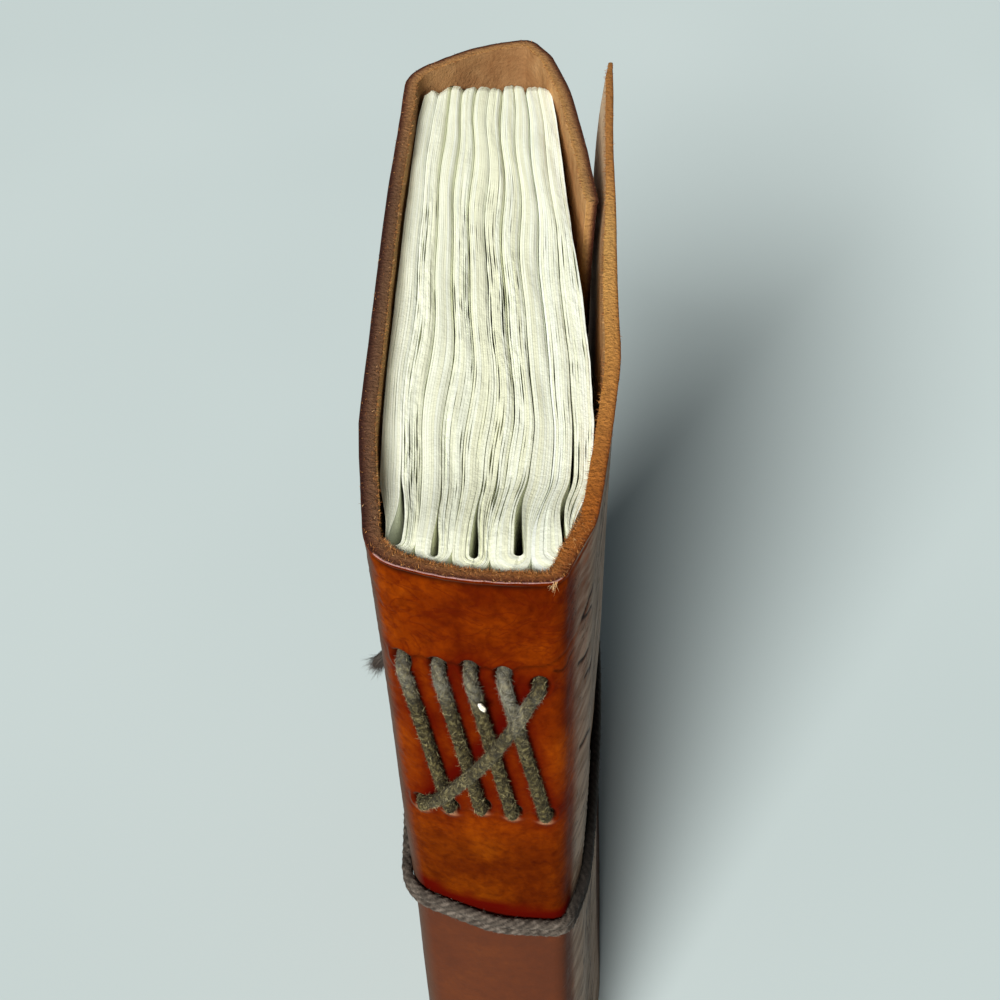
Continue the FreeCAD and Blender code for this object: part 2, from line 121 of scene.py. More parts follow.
def folded_line(corners, step):
    """Straight runs and round bends through the corners, as points about a step apart."""
    spots = [np.array(corner[:2], float) for corner in corners]
    line = [spots[0]]
    for before, corner, after, (_, _, bend) in zip(spots, spots[1:], spots[2:], corners[1:]):
        way_in, way_out = straight(corner - before), straight(after - corner)
        turn = math.acos(np.clip(way_in @ way_out, -1, 1))
        side = np.array((way_in[1], -way_in[0]))
        if side @ way_out < 0:
            side = -side
        start = corner - way_in * bend * math.tan(turn / 2)
        for angle in np.linspace(0, turn, max(2, int(bend * turn / step * 2)) + 1):
            line.append(start + (way_in * math.sin(angle) + side * (1 - math.cos(angle))) * bend)
    line.append(spots[-1])
    return np.array(line)


def runs_of(line):
    return np.linalg.norm(np.diff(line, axis=0), axis=1)


def at_marks(line, far, marks):
    """Points of a line at some distances along it, where far holds its own points' distances."""
    return np.stack([np.interp(marks, far, part) for part in line.T], axis=1)


def spaced(line, marks):
    return at_marks(line, np.concatenate(([0], np.cumsum(runs_of(line)))), marks)


def marks_between(*stages):
    """Positions from stage to stage: start, step, next start, step, ... end."""
    marks = []
    for start, step, end in zip(stages[0::2], stages[1::2], stages[2::2]):
        marks += list(np.linspace(start, end, max(1, round((end - start) / step)), endpoint=False))
    return np.array(marks + [stages[-1]])


grain_line = folded_line(COVER_CORNERS, 0.25)
sheet_length = runs_of(grain_line).sum()
SPINE_AT = 148.6                       # from the front cover's free edge to the spine's corner
column_marks = marks_between(0, 1.0, 6, 4.0, SPINE_AT - 46, 0.7, SPINE_AT, 0.5, SPINE_AT + 30,
                             0.8, SPINE_AT + 46, 4.0, SPINE_AT + 160, 1.4, SPINE_AT + 210,
                             3.0, sheet_length - 3, 0.8, sheet_length)
row_marks = marks_between(0, 0.3, 2.1, 1.3, 19, 0.8, 65, 2.2, 140, 0.42, 207, 0.27, HEIGHT)
plan = spaced(grain_line, column_marks)
plan_ways = straight(np.gradient(plan, axis=0))
outward = np.stack((-plan_ways[:, 1], plan_ways[:, 0]), axis=1)


def past_corner(marks, start, full, fading, end):
    """Share of 1 from full to fading, in mm along the sheet past the spine's corner."""
    return smooth(SPINE_AT + start, SPINE_AT + full, marks) \
        * (1 - smooth(SPINE_AT + fading, SPINE_AT + end, marks))


def wrap_height(x):
    """Height of the upper turn of the wrap cord where it crosses the spine."""
    return np.interp(x, (-17.6, -1.0, 10.9), (HEIGHT - 87.6, HEIGHT - 90.2, HEIGHT - 91.6))


def beside(x, z, start, end):
    """Distance from a straight line between two points on the leather."""
    run = np.array(end, float) - np.array(start, float)
    share = np.clip(((x - start[0]) * run[0] + (z - start[1]) * run[1]) / (run @ run), 0, 1)
    return np.hypot(x - start[0] - run[0] * share, z - start[1] - run[1] * share)


# dark creases, past the corner and height at both ends, depth, width: six listed one by one, the rest
# as fine slanting folds down the front cover beside the spine
CREASES = [
    (-8.0, 194.0, -13.0, 194.6, 0.50, 0.42), (-7.4, 192.6, -12.5, 190.4, 0.45, 0.40),
    (1.5, 190.0, -4.0, 189.6, 0.25, 0.35), (-6.2, 183.2, -10.5, 182.8, 0.45, 0.45),
    (-9.0, 177.5, -15.0, 176.0, 0.35, 0.42), (-7.0, 161.5, -16.0, 157.0, 0.40, 0.45),
]
chance = np.random.default_rng(17)
for height in np.linspace(203, 128, 34):
    start = -chance.uniform(12, 31)
    end = start - chance.uniform(7, 18)
    CREASES.append((start, height, end, height - chance.uniform(0.5, 4.5),
                    chance.uniform(0.25, 0.55), chance.uniform(0.28, 0.42)))
# rings of small wrinkles: past the corner, height, reach, ring spacing, depth
RINGS = ((23.0, 201.5, 5.0, 1.9, 0.10), (20.0, 196.0, 4.0, 1.7, 0.08), (13.0, 203.0, 4.5, 1.8, 0.05))
# scored lines above and below the holes: distance from the head at five places, depth
SCORED_AT = (-15, -6, 2, 7.5, 11)
SCORES = (((20.4, 19.5, 19.9, 18.9, 17.6), 0.22), ((59.6, 58.6, 57.4, 57.9, 58.4), 0.10))


def grain_relief(along, x, z):
    """Height of the grain side over the plain folded sheet, and the shade painted into its hollows."""
    rise = np.zeros_like(x * z)
    # painted shade: darker in the awl holes, the scored lines, the creases and under the lip
    shade_in_hollows = np.zeros_like(rise)
    on_spine = past_corner(along, -1, 1, 29, 31)
    for hole_x, below in OUTER_HOLES + INNER_HOLES:
        for height in (HEIGHT - below, below):
            far = np.hypot((x - hole_x) / 1.35, (z - height) / 1.95)
            rise += on_spine * (0.34 * bell(far, 1.42, 0.30) - 2.2 * (1 - smooth(0.62, 1.18, far)))
            shade_in_hollows += on_spine * (1 - smooth(0.80, 1.40, far))
    for belows, depth in SCORES:
        below = np.interp(x, SCORED_AT, belows) + 0.2 * np.sin(x * 0.9)
        for height in (HEIGHT - below, below):
            score = bell(z, height, 0.34) * past_corner(along, -7, 2, 26, 30)
            rise -= depth * score
            shade_in_hollows += 2.2 * depth * score
    for a, b, c, d, depth, width in CREASES:
        bent = z + 0.45 * np.sin(along * 0.55 + b) + 0.25 * np.sin(along * 1.4 + d)
        for low, high in ((b, d), (HEIGHT - b, HEIGHT - d)):
            far = beside(along, bent, (SPINE_AT + a, low), (SPINE_AT + c, high))
            rise -= 0.22 * depth * bell(far, 0, width)
            shade_in_hollows += 3.2 * depth * bell(far, 0, width)
    for a, height, reach, spacing, depth in RINGS:
        far = np.hypot(along - SPINE_AT - a, (z - height) * 1.25)
        rise += depth * np.cos(2 * np.pi * far / spacing) * bell(far, 0, reach)
    ragged = 0.5 + 0.5 * grain_noise(along / 9, 0.5, z / 60, 5.1)
    lip = bell(z, HEIGHT - 0.2, 0.55) * 0.34 - bell(z, HEIGHT - 1.3, 0.45) * 0.20
    rise += lip * (0.45 + 0.55 * on_spine) * (0.6 + 0.6 * ragged)
    shade_in_hollows += 0.85 * bell(z, HEIGHT - 1.25, 0.5) * on_spine * (0.5 + 0.5 * ragged)
    fine = grain_noise(along / 2.6, 0.0, z / 1.5, 11.0)
    fine += 0.6 * grain_noise(along / 1.1, 0.0, z / 0.8, 3.0)
    rise += fine * (0.025 + 0.035 * (smooth(150, 205, z) + smooth(60, 5, z)))
    return rise, np.clip(shade_in_hollows, 0, 1)


along, level = np.meshgrid(column_marks, row_marks)          # rows up, columns along the sheet
grid_x, grid_y = (np.broadcast_to(plan[:, k], along.shape) for k in (0, 1))
sway = 0.45 * grain_noise(grid_x / 34, grid_y / 34, level / 40, 2.0)
sway *= 1 - 0.75 * past_corner(along, -6, 0, 30, 36)
rise, shade_in_hollows = grain_relief(along, grid_x, level)
cut_height = 0.30 * grain_noise(column_marks / 16, 0.0, 0.0, 7.0)
cut_height += 0.12 * grain_noise(column_marks / 2.2, 0.0, 0.0, 8.0)
cut_tail = 0.2 * grain_noise(column_marks / 14, 3.0, 0.0, 4.0)
# pared thin towards the front cover's free edge, the flap's end and round the spine's corner
thickness = LEATHER * (0.30 + 0.28 * smooth(0, 7, column_marks)
                       + 0.42 * smooth(30, 85, column_marks))
thickness *= 0.82 + 0.18 * smooth(0, 4, sheet_length - column_marks)
thickness -= 0.6 * past_corner(column_marks, -4, 4, 16, 30)


def sheet_points(rows, depth, lift):
    """Points a depth below the grain side in some rows of the grid, lifted with the cut edges."""
    deep = sway[rows] + lift - depth
    z = level[rows] + cut_height * smooth(HEIGHT - 12, HEIGHT, level[rows])
    return np.stack((grid_x[rows] + outward[:, 0] * deep, grid_y[rows] + outward[:, 1] * deep,
                     z + cut_tail * smooth(10, 0, level[rows])), axis=-1)


grain_rows = np.arange(len(row_marks))
flesh_rows = np.unique(np.concatenate((grain_rows[:3], grain_rows[3::9], grain_rows[-3:])))
nap = 0.10 * grain_noise(along / 3.0, 0.0, level / 4.0, 21.0)
grain_side = sheet_points(grain_rows, 0.0, rise)
flesh_side = sheet_points(flesh_rows, thickness, nap[flesh_rows])
GRAIN, FLESH, CUT = 0, 1, 2
cover_blocks, cover_faces, cover_kinds = [], [], []


def add_points(block, across, hollow_shade, marks):
    """Keeps points with what they are like, and gives their numbers in the block's own shape."""
    first = sum(len(kept) for kept in cover_blocks)
    values = [np.broadcast_to(v, block.shape[:-1]).reshape(-1, 1) for v in (across, hollow_shade, marks)]
    cover_blocks.append(np.hstack((block.reshape(-1, 3), *values)))
    return first + np.arange(block[..., 0].size).reshape(block.shape[:-1])


def four_sided(numbers, flip=False):
    """The faces between the points of a grid."""
    a, b, c, d = numbers[:-1, :-1], numbers[:-1, 1:], numbers[1:, 1:], numbers[1:, :-1]
    return np.stack((a, d, c, b) if flip else (a, b, c, d), axis=-1).reshape(-1, 4).tolist()


def add_faces(faces, kind):
    cover_faces.extend(faces)
    cover_kinds.extend([kind] * len(faces))


grain_numbers = add_points(grain_side, 0.0, shade_in_hollows, along)
flesh_numbers = add_points(flesh_side, 1.0, 0.0, along[flesh_rows])
add_faces(four_sided(grain_numbers, flip=True), GRAIN)
add_faces(four_sided(flesh_numbers), FLESH)
# the head and tail cuts, slightly crowned and rough, and the two ends of the sheet
CUT_STEPS = np.array((0.10, 0.30, 0.5, 0.7, 0.9))[:, None]
for row, up in ((-1, 1), (0, -1)):
    block = grain_side[row] + (flesh_side[row] - grain_side[row]) * CUT_STEPS[..., None]
    rough = grain_noise(column_marks / 0.9, CUT_STEPS * 4, 0.0, 31.0 + up)
    block[..., 2] += up * (0.16 * np.sin(np.pi * CUT_STEPS) + 0.10 * rough)
    cut_numbers = add_points(block, CUT_STEPS, 0.0, column_marks)
    edge_numbers = np.vstack((grain_numbers[row], cut_numbers, flesh_numbers[row]))
    add_faces(four_sided(edge_numbers, flip=up > 0), CUT)
for column, way in ((0, -1), (-1, 1)):
    grain_edge, flesh_edge = grain_numbers[:, column].tolist(), flesh_numbers[:, column].tolist()
    for k, (low, high) in enumerate(zip(flesh_rows, flesh_rows[1:])):
        add_faces([(grain_edge[low:high + 1] + [flesh_edge[k + 1], flesh_edge[k]])[::way]], CUT)


def new_piece(name, points, faces, kinds=None, smoothly=True):
    """A piece from its mesh: points in metres, faces and the finish of each face."""
    mesh = bpy.data.meshes.new(name)
    mesh.from_pydata(np.reshape(points, (-1, 3)).tolist(), [], faces)
    if kinds is not None:
        mesh.polygons.foreach_set("material_index", kinds)
    mesh.polygons.foreach_set("use_smooth", [smoothly] * len(mesh.polygons))
    mesh.update()
    piece = bpy.data.objects.new(name, mesh)
    bpy.context.scene.collection.objects.link(piece)
    return piece


def point_values(piece, name, values):
    """One number for each point of a piece, for its material to read."""
    kept = piece.data.attributes.new(name, "FLOAT", "POINT")
    kept.data.foreach_set("value", np.asarray(values, np.float32))


cover_x, cover_y, cover_z, across, hollow_shade, cover_marks = np.concatenate(cover_blocks).T
cover = new_piece("leather_sheet", placed(np.stack((cover_x, cover_y, cover_z), axis=1)),
                  cover_faces, cover_kinds)
near_spine = (cover_marks > SPINE_AT - 4) & (cover_marks < SPINE_AT + 33)
# painted shade: deep red on the spine beside the stitches and in a band over the wrap cord
above_wrap = cover_z - wrap_height(cover_x)
uneven = above_wrap + 0.9 * grain_noise(cover_x / 4.0, 0.0, 0.0, 6.0)
shade_by_cords = smooth(-6, -1, above_wrap) * (1 - smooth(2.6, 4.0, uneven))
for (top_x, top), (low_x, low) in STITCHES:
    for end in (HEIGHT, 0):
        far = beside(cover_x, cover_z, (top_x, abs(end - top)), (low_x, abs(end - low)))
        shade_by_cords = np.maximum(shade_by_cords, bell(far, 0, 3.0))
# painted highlights: pale glints on the rims of the inner holes, just past where the cord goes in
rim_glint = np.zeros(len(cover_x))
for hole_x, below in INNER_HOLES:
    for height, way in ((HEIGHT - below, -1), (below, 1)):
        far = np.hypot((cover_x - hole_x + 0.2) / 0.95, (cover_z - height - way * 2.1) / 0.42)
        rim_glint = np.maximum(rim_glint, bell(far, 0, 1.0) * near_spine)
for name, values in (
        ("painted_red_shade", shade_by_cords * near_spine),
        # painted reflection: a paler veil on the spine below the wrap cord
        ("painted_veil_below_wrap", (1 - smooth(-4, 0, above_wrap)) * near_spine),
        ("near_head", smooth(HEIGHT - 34, HEIGHT - 22, cover_z) * near_spine),
        # painted shade: the leather darker from about 60 mm below the head downward
        ("lower", 1 - smooth(HEIGHT - 74, HEIGHT - 56, cover_z)),
        ("on_spine", (cover_marks > SPINE_AT) & (cover_marks < SPINE_AT + 29)),
        # painted highlights on the rims of the inner holes
        ("rim_glint", 0.8 * rim_glint),
        ("place", cover_marks / sheet_length),
        # painted shade in the hollows of the grain side
        ("hollow_shade", hollow_shade),
        ("across", across),
        ("corner", past_corner(cover_marks, -6.5, -2.5, 4, 8)),
        ("side", past_corner(cover_marks, -60, -45, -3, 0))):
    point_values(cover, name, values)


def new_finish(name, colour, roughness, specular=0.5):
    finish = bpy.data.materials.new(name)
    finish.use_nodes = True
    shader = finish.node_tree.nodes["Principled BSDF"]
    shader.inputs["Base Color"].default_value = (*colour, 1)
    shader.inputs["Roughness"].default_value = roughness
    shader.inputs["Specular IOR Level"].default_value = specular
    return finish, finish.node_tree


def node(tree, kind, inputs=(), **settings):
    """A node with its settings and its inputs, by name or number: values or other outputs."""
    made = tree.nodes.new("ShaderNode" + kind)
    for key, value in settings.items():
        setattr(made, key, value)
    for key, value in dict(inputs).items():
        if isinstance(value, bpy.types.NodeSocket):
            tree.links.new(value, made.inputs[key])
        else:
            made.inputs[key].default_value = value
    return made


def speckle(tree, scale, detail=4.0, stretch=(1, 1, 1), roughness=0.6, distortion=0.0):
    """Noise in the journal's own space, in features per metre."""
    place = node(tree, "TexCoord").outputs["Object"]
    if stretch != (1, 1, 1):
        place = node(tree, "Mapping", {"Vector": place, "Scale": stretch}).outputs[0]
    return node(tree, "TexNoise", {"Vector": place, "Scale": scale, "Detail": detail,
                                   "Roughness": roughness, "Distortion": distortion}).outputs[0]


def shaded(tree, share, *stops):
    """Colours at positions 0 to 1 of a share."""
    ramp = node(tree, "ValToRGB", {0: share})
    bands = ramp.color_ramp.elements
    while len(bands) < len(stops):
        bands.new(0.5)
    for band, (position, colour) in zip(bands, stops):
        band.position = position
        band.color = (*colour, 1)
    return ramp.outputs[0]


def blended(tree, share, first, second, way="MIX"):
    """Two colours mixed by a share, a number or an output."""
    paints = [value if isinstance(value, bpy.types.NodeSocket) else (*value, 1)
              for value in (first, second)]
    mix = node(tree, "Mix", data_type="RGBA", blend_type=way)
    for socket, value in zip((mix.inputs[0], mix.inputs[6], mix.inputs[7]), (share, *paints)):
        if isinstance(value, bpy.types.NodeSocket):
            tree.links.new(value, socket)
        else:
            socket.default_value = value
    return mix.outputs[2]


def times(tree, value, factor):
    return node(tree, "Math", {0: value, 1: factor}, operation="MULTIPLY").outputs[0]


def of_point(tree, name):
    return node(tree, "Attribute", attribute_name=name).outputs["Fac"]


def between(tree, value, low, high, start=0.0, end=1.0):
    """The value taken from one range to another, and held at its ends."""
    return node(tree, "MapRange", {0: value, 1: low, 2: high, 3: start, 4: end}).outputs[0]


def off_middle(tree, value):
    """How far noise is from its middle, which is least along thin winding lines."""
    apart = node(tree, "Math", {0: value, 1: 0.5}, operation="SUBTRACT").outputs[0]
    return node(tree, "Math", {0: apart}, operation="ABSOLUTE").outputs[0]


def painted(tree, colour, *layers):
    """Gives the finish its colour, and its relief in layers: height, distance in mm."""
    shader = tree.nodes["Principled BSDF"]
    tree.links.new(colour, shader.inputs["Base Color"])
    normal = None
    for height, distance in layers:
        bump = node(tree, "Bump", {"Height": height, "Strength": 1.0, "Distance": distance / 1000})
        if normal:
            tree.links.new(normal, bump.inputs["Normal"])
        normal = bump.outputs[0]
    if normal:
        tree.links.new(normal, shader.inputs["Normal"])


# grain side: orange brown wax over red dye in clouds, veins and specks
grain_finish, tree = new_finish("waxed_grain", (0.17, 0.02, 0.002), 0.36, 0.003)
colour = shaded(tree, speckle(tree, 85, 6, (1, 1, 0.9), 0.62, 0.4),
                (0.30, (0.0848, 0.00826, 0.0005)), (0.45, (0.1378, 0.01778, 0.0006)),
                (0.58, (0.1887, 0.02921, 0.0008)), (0.75, (0.2544, 0.04699, 0.0014)))
specks = between(tree, speckle(tree, 600, 3), 0.45, 0.72, 0.0, 0.5)
colour = blended(tree, specks, colour, (0.0583, 0.00508, 0.001))
# painted shade: darker from about 60 mm below the head downward
colour = blended(tree, of_point(tree, "lower"), colour, (0.66, 0.72, 0.7), "MULTIPLY")
mottle = shaded(tree, speckle(tree, 420, 4, (1, 1, 0.8), 0.6, 0.6), (0.34, (0.76, 0.70, 0.7)),
                (0.52, (1, 1, 1)), (0.68, (1.22, 1.30, 1.0)))
colour = blended(tree, 0.8, colour, mottle, "MULTIPLY")
veins = between(tree, off_middle(tree, speckle(tree, 120, 4, (1, 1, 1.5), 0.5, 0.9)), 0.0, 0.03)
veined = times(tree, of_point(tree, "near_head"), between(tree, veins, 0.0, 1.0, 0.5, 0.0))
for share, paint in ((veined, (0.07, 0.005, 0.001)),
                     # painted reflection: a paler veil below the wrap cord
                     (times(tree, of_point(tree, "painted_veil_below_wrap"), 0.75), (0.085, 0.031, 0.017)),
                     # painted shade: deep red beside the stitches and over the wrap cord
                     (of_point(tree, "painted_red_shade"), (0.072, 0.0024, 0.0008))):
    colour = blended(tree, share, colour, paint)
# painted reflection: a greyer sheen where the leather is seen along its surface
facing = node(tree, "LayerWeight", {"Blend": 0.5}).outputs["Facing"]
grazing_sheen = times(tree, between(tree, facing, 0.64, 0.82, 0.0, 0.95),
             between(tree, of_point(tree, "corner"), 0.0, 1.0, 1.0, 0.0))
side = of_point(tree, "side")
streaks = speckle(tree, 420, 3, (1, 0.10, 1), 0.5, 0.3)
sheen_colour = blended(tree, between(tree, streaks, 0.35, 0.65), (0.170, 0.108, 0.072), (0.330, 0.235, 0.172))
sheen_colour = blended(tree, side, (0.085, 0.045, 0.030), sheen_colour)
# painted shade: dark streaks on the front cover beside the spine
lines = between(tree, off_middle(tree, streaks), 0.004, 0.016, 0.8, 0.0)
lines = times(tree, times(tree, lines, between(tree, speckle(tree, 90, 2), 0.42, 0.56)), side)
# painted reflection at grazing views and painted shade in the streaks
for share, paint in ((grazing_sheen, sheen_colour), (lines, (0.012, 0.006, 0.004)),
                     # painted highlights on the inner holes' rims
                     (of_point(tree, "rim_glint"), (0.62, 0.36, 0.20)),
                     # painted shade in the hollows
                     (of_point(tree, "hollow_shade"), (0.014, 0.003, 0.001))):
    colour = blended(tree, share, colour, paint)
shader = tree.nodes["Principled BSDF"]
gloss = between(tree, speckle(tree, 220, 3), 0.3, 0.7, 0.26, 0.42)
tree.links.new(gloss, shader.inputs["Roughness"])
shader.inputs["Specular Tint"].default_value = (1.0, 0.40, 0.06, 1)
pores = node(tree, "TexVoronoi", {"Scale": 1500.0,
                                  "Vector": node(tree, "TexCoord").outputs["Object"]}).outputs[0]
painted(tree, colour, (veins, 0.025), (speckle(tree, 95, 3, (1, 1, 1.2), 0.5, 0.5), 0.07),
        (pores, 0.03), (speckle(tree, 700, 2), 0.03))

# flesh side: tan suede, painted light at the front cover's free edge, darker where it turns to the flap
flesh_finish, tree = new_finish("suede_side", (0.42, 0.23, 0.085), 0.95, 0.15)
colour = shaded(tree, speckle(tree, 180, 6), (0.30, (0.38, 0.185, 0.068)),
                (0.55, (0.50, 0.275, 0.110)), (0.78, (0.60, 0.36, 0.160)))
turned = shaded(tree, of_point(tree, "place"), (0.68, (1, 1, 1)), (0.74, (0.58, 0.56, 0.58)),
                (0.84, (0.58, 0.56, 0.58)), (0.88, (1, 1, 1)))
colour = blended(tree, 1.0, colour, turned, "MULTIPLY")
# painted light on the inner face of the front cover near its free edge
painted_light_free_end = between(tree, of_point(tree, "place"), 0.02, 0.16, 0.85, 0.0)
colour = blended(tree, painted_light_free_end, colour, (0.90, 0.68, 0.44))
painted(tree, colour, (speckle(tree, 1600, 4), 0.25), (speckle(tree, 260, 4), 0.5))

# raw edges: orange and brown fibres, burnt dark along the grain, burnished on the spine with a painted
# glint
cut_finish, tree = new_finish("knife_cut", (0.30, 0.12, 0.04), 0.85, 0.2)
place, across_cut = of_point(tree, "place"), of_point(tree, "across")
colour = shaded(tree, place, (0.0, (0.36, 0.16, 0.045)), (0.10, (0.44, 0.20, 0.055)),
                (0.15, (0.60, 0.34, 0.105)), (0.23, (0.56, 0.27, 0.07)),
                (0.325, (0.36, 0.110, 0.014)), (0.350, (0.36, 0.120, 0.022)),
                (0.40, (0.30, 0.125, 0.040)), (0.45, (0.19, 0.095, 0.046)),
                (0.66, (0.185, 0.095, 0.045)), (0.745, (0.38, 0.19, 0.07)),
                (1.0, (0.46, 0.25, 0.085)))
burnt = shaded(tree, across_cut, (0.0, (0.22, 0.13, 0.17)), (0.14, (0.18, 0.10, 0.13)),
               (0.34, (0.48, 0.40, 0.46)), (0.56, (0.82, 0.80, 0.88)), (1.0, (1.0, 1.0, 0.92)))
warm = shaded(tree, across_cut, (0.0, (0.50, 0.36, 0.26)), (0.25, (1.0, 0.95, 0.9)),
              (1.0, (1.0, 1.0, 0.95)))
edge = blended(tree, between(tree, place, 0.335, 0.365), warm, burnt)
colour = blended(tree, 1.0, colour, edge, "MULTIPLY")
flecks = between(tree, speckle(tree, 1300, 4), 0.30, 0.55, 0.45, 0.0)
colour = blended(tree, flecks, colour, (0.05, 0.012, 0.004))
# painted highlight: a pale line along the spine's grain-side rim
lip_glint = times(tree, of_point(tree, "on_spine"), between(tree, across_cut, 0.0, 0.12, 1.0, 0.0))
colour = blended(tree, lip_glint, colour, (0.52, 0.30, 0.28))
painted(tree, colour, (speckle(tree, 1500, 5), 0.5))
for finish in (grain_finish, flesh_finish, cut_finish):
    cover.data.materials.append(finish)
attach(cover, "root")
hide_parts("leather_cover")

# ------------------------------ fibres of the cut edges
# A knife leaves the ends of the hide's fibres standing along the raw edges: short brown and tan
# hairs, longest at the flesh side, with one pale tuft at the corner of the spine.


def hairs(name, roots, ways, lengths, widths, tones, seed, curl=0.6, belly=0.1, in_mm=False):
    """Thin ribbons, each of one tone, from roots in metres, or in mm from the spine's foot."""
    chance = np.random.default_rng(seed)
    count = len(roots)
    unit = 1 if in_mm else 0.001
    ways, lengths, widths = straight(ways), lengths[:, None] * unit, widths[:, None] * unit
    side = straight(np.cross(ways, chance.normal(size=(count, 3))))
    bend = np.cross(ways, side) * curl * chance.uniform(-1, 1, (count, 1))
    wide = side * widths / 2
    half = roots + (ways * 0.5 + bend * belly) * lengths
    points = np.stack((roots - wide, roots + wide, half + wide * 0.8, half - wide * 0.8,
                       roots + (ways + bend) * lengths), axis=1)
    first = np.arange(count)[:, None] * 5
    faces = (first + np.array((0, 1, 2, 3))).tolist() + (first + np.array((3, 2, 4))).tolist()
    piece = new_piece(name, placed(points) if in_mm else points, faces, smoothly=in_mm)
    point_values(piece, "tone", np.repeat(tones, 5))
    return piece


def edge_hairs(chance, count, row, up):
    """Roots and directions along the head or tail cut of the cover, closest at the spine."""
    marks = np.concatenate((chance.uniform(0.5, sheet_length - 0.5, count),
                            chance.uniform(SPINE_AT - 12, SPINE_AT + 31, count // 2)))
    depth = (1 - chance.uniform(0, 1, len(marks)) ** 1.8)[:, None]
    outer = at_marks(grain_side[row], column_marks, marks)
    inward = at_marks(flesh_side[row], column_marks, marks) - outer
    ways = straight(inward) * (0.35 + 1.1 * depth) + chance.normal(0, 0.55, outer.shape)
    ways[:, 2] = up * np.abs(ways[:, 2] * 0.7 + 0.25)
    return outer + inward * depth, ways


chance = np.random.default_rng(8)
head_roots, head_ways = edge_hairs(chance, 6500, -1, 1)
tail_roots, tail_ways = edge_hairs(chance, 2500, 0, -1)
TUFT = 26
tuft_at = at_marks(grain_side[-1], column_marks, np.full(TUFT, SPINE_AT + 1.6))
tuft_roots = tuft_at + chance.normal(0, 0.22, (TUFT, 3))
tuft_ways = np.array((-0.15, -0.5, -1.0)) + chance.normal(0, 0.35, (TUFT, 3))
roots = np.concatenate((head_roots, tail_roots, tuft_roots))
lengths = 0.35 + 0.75 * chance.uniform(0, 1, len(roots)) ** 2
lengths[:len(head_roots)] *= 0.75
lengths[-TUFT:] = chance.uniform(0.8, 1.9, TUFT)
tones = np.clip(chance.normal(0.42, 0.25, len(roots)), 0, 0.85)
tones[-TUFT:] = chance.uniform(0.78, 0.95, TUFT)
fibres = hairs("cut_edge_fibres", roots, np.concatenate((head_ways, tail_ways, tuft_ways)), lengths,
               chance.uniform(0.05, 0.11, len(roots)), tones, 3, curl=0.7, belly=0.15, in_mm=True)
fibre_finish, tree = new_finish("hide_fibres", (0.35, 0.14, 0.05), 0.8)
colour = shaded(tree, of_point(tree, "tone"), (0.0, (0.09, 0.022, 0.004)),
                (0.4, (0.27, 0.090, 0.014)), (0.8, (0.48, 0.22, 0.055)), (1.0, (0.80, 0.66, 0.42)))
painted(tree, colour, (speckle(tree, 2500, 2), 0.05))
fibres.data.materials.append(fibre_finish)
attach(fibres, "root")

# ------------------------------ gatherings
# Five gatherings of eight folded sheets of handmade paper.  The sheets are torn, not cut, so
# their edges are soft and uneven; they wave, cling together in bunches, and stay open round the
# sewing cord inside each fold.

block_low, block_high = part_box("text_block")
PAPER_FOOT, PAPER_HEAD = block_low.z * 1000, block_high.z * 1000
SHEETS = 8                             # folded sheets in each gathering
# x of the lines between the gatherings at the folds, and y of each fold's back
FOLD_LINES = (-15.3, -10.7, -5.1, 0.5, 6.4, 12.1)
FOLD_BACKS = (6.5, 4.6, 3.15, 2.85, 3.3)
# the drop-shaped opening in each fold: middle x, y of its bottom, half width, how far it runs
OPENINGS = ((-13.9, 8.5, 1.00, 9.0), (-7.8, 6.3, 0.55, 5.0), (-1.9, 5.9, 0.64, 7.0),
            (4.6, 6.4, 0.70, 11.0), (11.2, 8.7, 0.30, 30.0))
# the block's two sides from the folds to the fore edge: y, back x, front x
BLOCK_SIDES = np.array((
    (7.0, -15.3, 11.6), (11.0, -16.2, 13.4), (16.0, -17.0, 14.5), (22.0, -17.6, 15.3),
    (38.0, -18.6, 15.9), (54.0, -19.2, 15.4), (71.0, -19.5, 14.1), (88.0, -19.8, 12.4),
    (101.0, -20.0, 11.3), (118.0, -20.2, 9.9), (133.0, -20.2, 8.6), (145.0, -19.4, 7.2)))
# how far the leaves reach, from the back cover's side to the front: place in gatherings, y
TIPS = ((0, 142.1), (0.35, 144.8), (0.75, 147.1), (1.0, 148.8), (1.3, 148.2), (1.5, 146.8),
        (1.75, 147.1), (2.3, 147.7), (2.75, 147.1), (2.95, 145.8), (3.1, 148.1), (3.4, 148.9),
        (3.7, 147.3), (3.95, 145.8), (4.1, 147.5), (4.5, 147.7), (4.75, 145.8), (5.0, 143.6))
# how much the leaves of each half gathering part into fine lines, in the same order
LOOSE = np.array((0.2, 1.0, 0.12, 0.9, 0.45, 1.0, 0.85, 0.12, 0.5, 0.85))
# how deep the valleys between the half gatherings are, in the same order, outer sides included
VALLEYS = np.array((0.0, 0.35, 1.0, 0.9, 1.0, 0.45, 1.0, 0.7, 1.0, 0.35, 0.0))
LEAF_ROWS = np.array((0.0, 0.9, 4.0, 30.0, 100.0, 165.0, 196.0, 201.5, 202.6, 203.0)) / 203.0
LEAF_ROWS = PAPER_FOOT + LEAF_ROWS * (PAPER_HEAD - PAPER_FOOT)
LEAF_STEPS = np.linspace(0, 1, 112)
FOLD_TURN = np.linspace(0, np.pi, 15)[1:-1, None]


def wave(y, share, z):
    """Sideways waves that neighbouring leaves share."""
    long_wave = 0.75 * np.sin(y / 11.5 + 5.2 * share + 0.004 * z) * bell(y, 62, 42)
    short_wave = 0.30 * np.sin(y / 5.6 + 9.0 * share + 1.7) * smooth(12, 40, y)
    return (long_wave + short_wave) * np.sin(np.pi * np.clip(share, 0, 1)) ** 0.6


